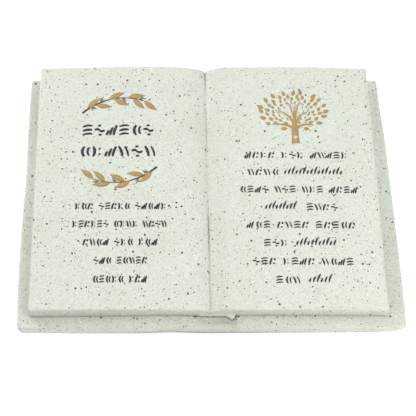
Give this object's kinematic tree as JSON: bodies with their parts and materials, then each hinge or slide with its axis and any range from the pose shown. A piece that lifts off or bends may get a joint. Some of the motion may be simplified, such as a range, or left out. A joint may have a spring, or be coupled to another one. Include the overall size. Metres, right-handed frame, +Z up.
{
  "type": "open book headstone",
  "caption": "Graveside memorial cast in pale speckled stone resin as a book lying open on its cover, its pages sloping up to the head.",
  "frame": {"origin": "centre of the underside, on the ground", "axes": "+X to the reader's right across both pages, +Y from the foot of the pages to their head, +Z up"},
  "size_m": [0.2, 0.155, 0.0244],
  "materials": {
    "cast_stone": "matte"
  },
  "bodies": {
    "root": {"open_book": "cast_stone"}
  },
  "joints": []
}
